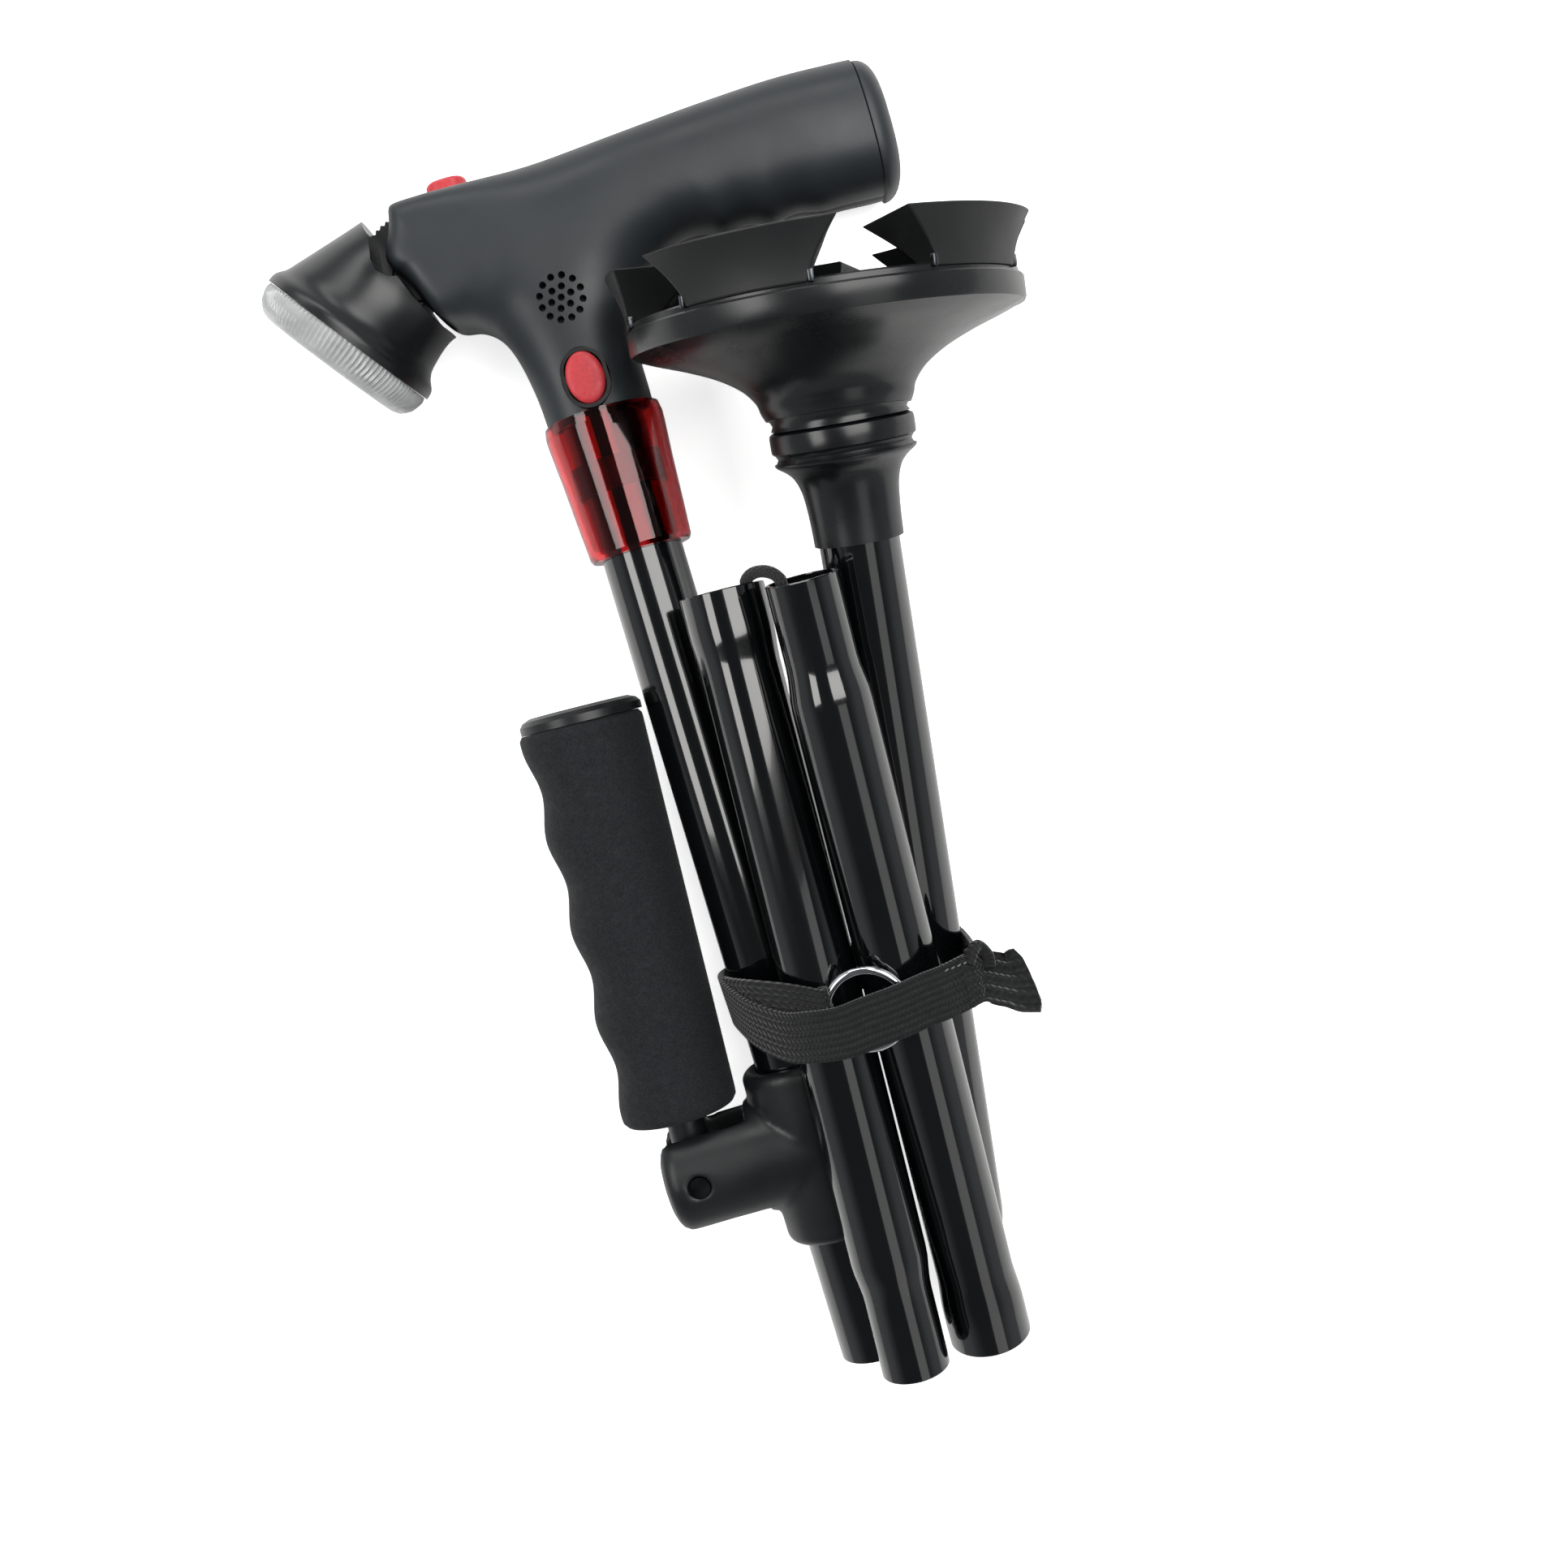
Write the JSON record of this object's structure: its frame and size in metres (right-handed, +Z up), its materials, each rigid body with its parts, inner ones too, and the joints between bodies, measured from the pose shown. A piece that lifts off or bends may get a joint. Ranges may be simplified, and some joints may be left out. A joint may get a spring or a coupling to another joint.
{
  "type": "folding cane",
  "caption": "Folding walking cane with a tilting lamp, alarm and light buttons, a fold-out second handle and a swivelling footed base, folded and held by a band.",
  "frame": {"origin": "on the ground under the middle of the folded cane as it lies on its side", "axes": "+Y from the fold at the tubes' feet to the handle, +Z up out of the ground"},
  "size_m": [0.1855, 0.337, 0.1031],
  "materials": {
    "shell": "satin charcoal moulded plastic",
    "black_plastic": "smooth black moulded plastic",
    "steel": "plain steel",
    "cell": "plain wrapped cell",
    "board": "printed circuit board",
    "siren": "thin disc",
    "red_clear": "clear red moulded plastic",
    "diode": "white board with diodes",
    "tube_paint": "gloss black coating",
    "anchor": "turned plug",
    "cord": "woven elastic cord",
    "band": "woven elastic band",
    "chrome_ring": "bright ring",
    "red": "red button",
    "mirror": "vacuum-coated reflector",
    "lens": "clear ribbed lens",
    "foam": "closed foam",
    "rubber": "black rubber"
  },
  "bodies": {
    "handle_and_upper_tube": {"handle_front_shell": "shell", "handle_back_shell": "shell", "handle_screws": "steel", "battery_cells": "cell", "battery_contacts": "steel", "circuit_board": "board", "siren_disc": "siren", "alarm_bezel": "black_plastic", "alarm_switch": "black_plastic", "light_switch": "black_plastic", "stem_bush": "black_plastic", "flasher_collar": "red_clear", "flasher_ring": "diode", "lamp_pivot_pin": "steel", "tube_1": "tube_paint", "cord_anchor_top": "anchor", "cord_1": "cord", "grip_bracket": "black_plastic", "bracket_screws": "steel", "grip_pivot_pin": "steel", "strap_band": "band", "strap_tab": "band", "ring_keeper": "band", "strap_ring": "chrome_ring"},
    "battery_door": {"battery_cap": "shell"},
    "light_push": {"light_button": "red"},
    "alarm_push": {"alarm_button": "red"},
    "lamp_head": {"lamp_shell": "black_plastic", "lamp_reflector": "mirror", "lamp_board": "diode", "lamp_lens": "lens"},
    "second_grip": {"grip_core": "black_plastic", "foam_grip": "foam", "grip_end_cap": "black_plastic"},
    "fold_link_12": {"cord_bend_12": "cord"},
    "second_tube": {"tube_2": "tube_paint", "cord_2": "cord"},
    "fold_link_23": {"cord_bend_23": "cord"},
    "third_tube": {"tube_3": "tube_paint", "cord_3": "cord"},
    "fold_link_34": {"cord_bend_34": "cord"},
    "last_tube": {"tube_4": "tube_paint", "cord_4": "cord", "cord_anchor_low": "anchor", "base_boot": "rubber", "ball_stud": "steel"},
    "base_gimbal": {"neck_ring": "black_plastic", "flex_neck": "rubber"},
    "base": {"base_cone": "black_plastic", "sole_plate": "black_plastic", "foot_1": "rubber", "foot_2": "rubber", "foot_3": "rubber", "foot_4": "rubber", "foot_5": "rubber", "foot_clips": "steel", "base_screws": "steel"}
  },
  "joints": [
    {"name": "fold_12", "type": "hinge", "parent": "handle_and_upper_tube", "child": "fold_link_12", "pos_m": [-0.01558, -0.15528, 0.0343], "axis": [0.8983, -0.0212, -0.4388], "range_deg": [0, 177.6], "deforming": ["cord_bend_12", "strap_band", "strap_tab", "ring_keeper", "strap_ring", "cord_1", "cord_2"]},
    {"name": "seat_12", "type": "slide", "parent": "fold_link_12", "child": "second_tube", "axis": [-0.0461, -0.9989, -0.0102], "range_m": [0, 0.021], "deforming": ["cord_1", "cord_2", "cord_bend_12"]},
    {"name": "seat_23", "type": "slide", "parent": "second_tube", "child": "fold_link_23", "axis": [-0.0461, -0.9989, -0.0102], "range_m": [0, 0.021], "deforming": ["cord_2", "cord_3", "cord_bend_23"]},
    {"name": "fold_23", "type": "hinge", "parent": "fold_link_23", "child": "third_tube", "pos_m": [0.00871, 0.04724, 0.05342], "axis": [-0.5879, -0.0325, 0.8083], "range_deg": [0, 184.33], "deforming": ["cord_bend_23", "cord_3"]},
    {"name": "fold_34", "type": "hinge", "parent": "third_tube", "child": "fold_link_34", "pos_m": [0.00835, -0.15842, 0.02065], "axis": [-0.995, 0.0771, 0.0629], "range_deg": [0, 181.89], "deforming": ["cord_bend_34", "cord_4"]},
    {"name": "seat_34", "type": "slide", "parent": "fold_link_34", "child": "last_tube", "axis": [-0.1251, -0.9784, -0.1646], "range_m": [0, 0.021], "deforming": ["cord_3", "cord_4", "cord_bend_34"]},
    {"name": "grip_fold", "type": "hinge", "parent": "handle_and_upper_tube", "child": "second_grip", "pos_m": [-0.05236, -0.09664, 0.02547], "axis": [0.0539, 0.0136, 0.9985], "range_deg": [0, 92]},
    {"name": "lamp_tilt", "type": "hinge", "parent": "handle_and_upper_tube", "child": "lamp_head", "pos_m": [-0.05351, 0.14783, 0.0222], "axis": [-0.0539, -0.0136, -0.9985], "range_deg": [0, 20]},
    {"name": "cap_pull", "type": "slide", "parent": "handle_and_upper_tube", "child": "battery_door", "axis": [0.9985, 0, -0.0539], "range_m": [0, 0.012]},
    {"name": "light_press", "type": "slide", "parent": "handle_and_upper_tube", "child": "light_push", "axis": [0.0007, -0.9999, 0.0136], "range_m": [0, 0.0012], "stiffness_N_per_m": 600, "springref_m": -0.0005},
    {"name": "alarm_press", "type": "slide", "parent": "handle_and_upper_tube", "child": "alarm_push", "axis": [-0.0539, -0.0136, -0.9985], "range_m": [0, 0.0012], "stiffness_N_per_m": 600, "springref_m": -0.0005},
    {"name": "base_tilt", "type": "hinge", "parent": "last_tube", "child": "base_gimbal", "pos_m": [0.03881, 0.08536, 0.04982], "axis": [0.9916, -0.1181, -0.0519], "range_deg": [-5, 5], "deforming": ["flex_neck"]},
    {"name": "base_rock", "type": "hinge", "parent": "base_gimbal", "child": "base", "pos_m": [0.03881, 0.08536, 0.04982], "axis": [-0.0314, 0.1697, -0.985], "range_deg": [-2, 5], "deforming": ["flex_neck"]}
  ],
  "couplings": [
    {"joint": "fold_23", "follows": "fold_12", "ratio": 1.0378},
    {"joint": "fold_34", "follows": "fold_12", "ratio": 1.0241}
  ]
}
